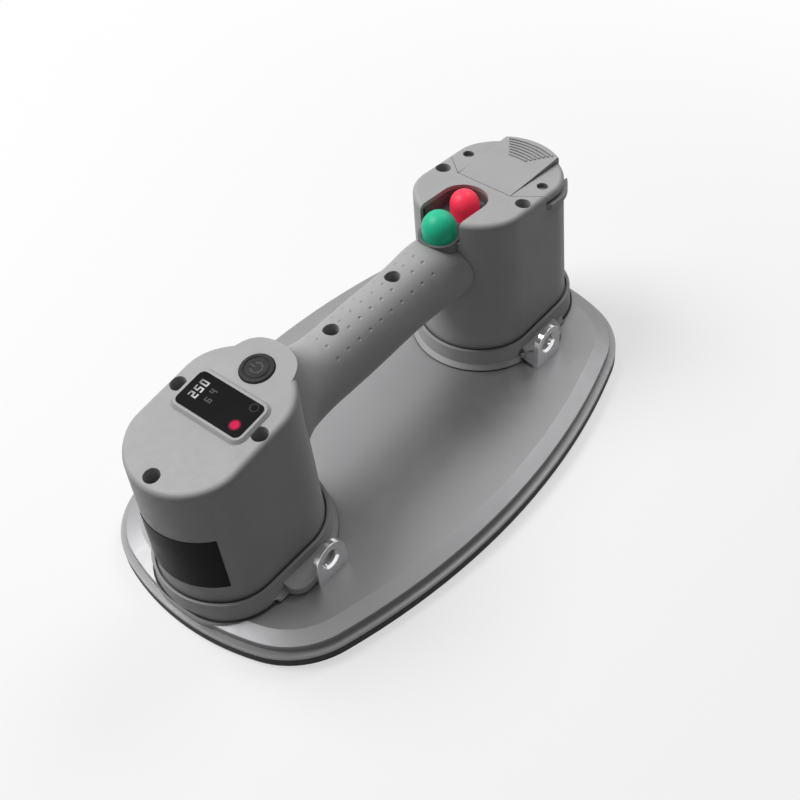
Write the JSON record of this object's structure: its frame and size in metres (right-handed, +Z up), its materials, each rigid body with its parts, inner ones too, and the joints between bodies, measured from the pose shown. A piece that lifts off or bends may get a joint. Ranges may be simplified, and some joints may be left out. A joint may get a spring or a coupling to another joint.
{
  "type": "floor tile suction lifter",
  "caption": "battery powered vacuum lifter for floor tiles: oval suction plate with rubber seal, two towers joined by a bar handle, push buttons, display and sliding battery pack",
  "frame": {"origin": "on the floor at the middle of the seal", "axes": "+X towards the battery tower, +Y to the rear, +Z up"},
  "size_m": [0.3, 0.185, 0.1172],
  "materials": {
    "cast_grey": "fine powder coat",
    "seal_rubber": "matte",
    "gasket_rubber": "matte",
    "sinter_bronze": "sintered",
    "zinc_steel": "zinc plated",
    "plated_steel": "bright plated sheet",
    "spring_steel": "drawn wire",
    "motor_steel": "drawn can",
    "grey_moulding": "fine spark eroded texture",
    "pack_moulding": "fine spark eroded texture",
    "black_moulding": "plain",
    "dark_tray": "plain",
    "key_black": "fine texture",
    "green_gloss": "glossy",
    "red_gloss": "glossy",
    "display_gloss": "clear over black",
    "cell_sleeve": "shrink sleeve",
    "contact_brass": "plain",
    "board_green": "solder mask",
    "label_film": "bare film",
    "hose_rubber": "smooth",
    "wire_sleeve": "woven sleeve"
  },
  "bodies": {
    "lifter": {"base_plate": "cast_grey", "suction_seal": "seal_rubber", "port_filters": "sinter_bronze", "battery_foot_gasket": "gasket_rubber", "display_foot_gasket": "gasket_rubber", "tower_screws": "zinc_steel", "ear_screws": "zinc_steel", "grip_cover": "grey_moulding", "battery_lid": "grey_moulding", "grip_underside": "grey_moulding", "battery_tower": "grey_moulding", "display_tower": "grey_moulding", "ear_rear_battery": "plated_steel", "ear_front_battery": "plated_steel", "ear_rear_display": "plated_steel", "ear_front_display": "plated_steel", "battery_rail_rear": "grey_moulding", "battery_rail_front": "grey_moulding", "battery_bay": "black_moulding", "battery_contacts": "contact_brass", "button_tray": "dark_tray", "suction_spring": "spring_steel", "release_spring": "spring_steel", "suction_switch": "black_moulding", "release_valve": "contact_brass", "release_pipe": "hose_rubber", "display_window": "display_gloss", "display_module": "black_moulding", "power_switch": "black_moulding", "control_board": "board_green", "board_screws": "zinc_steel", "blank_label": "label_film", "pump_bracket": "zinc_steel", "pump_head": "black_moulding", "pump_motor": "motor_steel", "check_valve": "contact_brass", "suction_hose": "hose_rubber", "wire_harness": "wire_sleeve", "display_screws": "zinc_steel", "lid_screws": "zinc_steel", "grip_screws": "zinc_steel", "rail_screws": "zinc_steel"},
    "power_key": {"power_button": "key_black"},
    "suction_key": {"suction_button": "green_gloss"},
    "release_key": {"release_button": "red_gloss"},
    "battery_pack": {"battery_case": "pack_moulding", "battery_ramp": "grey_moulding", "battery_cells": "cell_sleeve"}
  },
  "joints": [
    {"name": "suction_press", "type": "slide", "parent": "lifter", "child": "suction_key", "axis": [0, 0, -1], "range_m": [0, 0.003], "stiffness_N_per_m": 600, "springref_m": -0.002, "deforming": ["suction_spring"]},
    {"name": "release_press", "type": "slide", "parent": "lifter", "child": "release_key", "axis": [0, 0, -1], "range_m": [0, 0.003], "stiffness_N_per_m": 600, "springref_m": -0.002, "deforming": ["release_spring"]},
    {"name": "power_press", "type": "slide", "parent": "lifter", "child": "power_key", "axis": [0.1289, 0, -0.9917], "range_m": [0, 0.001], "stiffness_N_per_m": 800, "springref_m": -0.001},
    {"name": "battery_slide", "type": "slide", "parent": "lifter", "child": "battery_pack", "axis": [0.9917, 0, -0.1289], "range_m": [0, 0.05]}
  ]
}
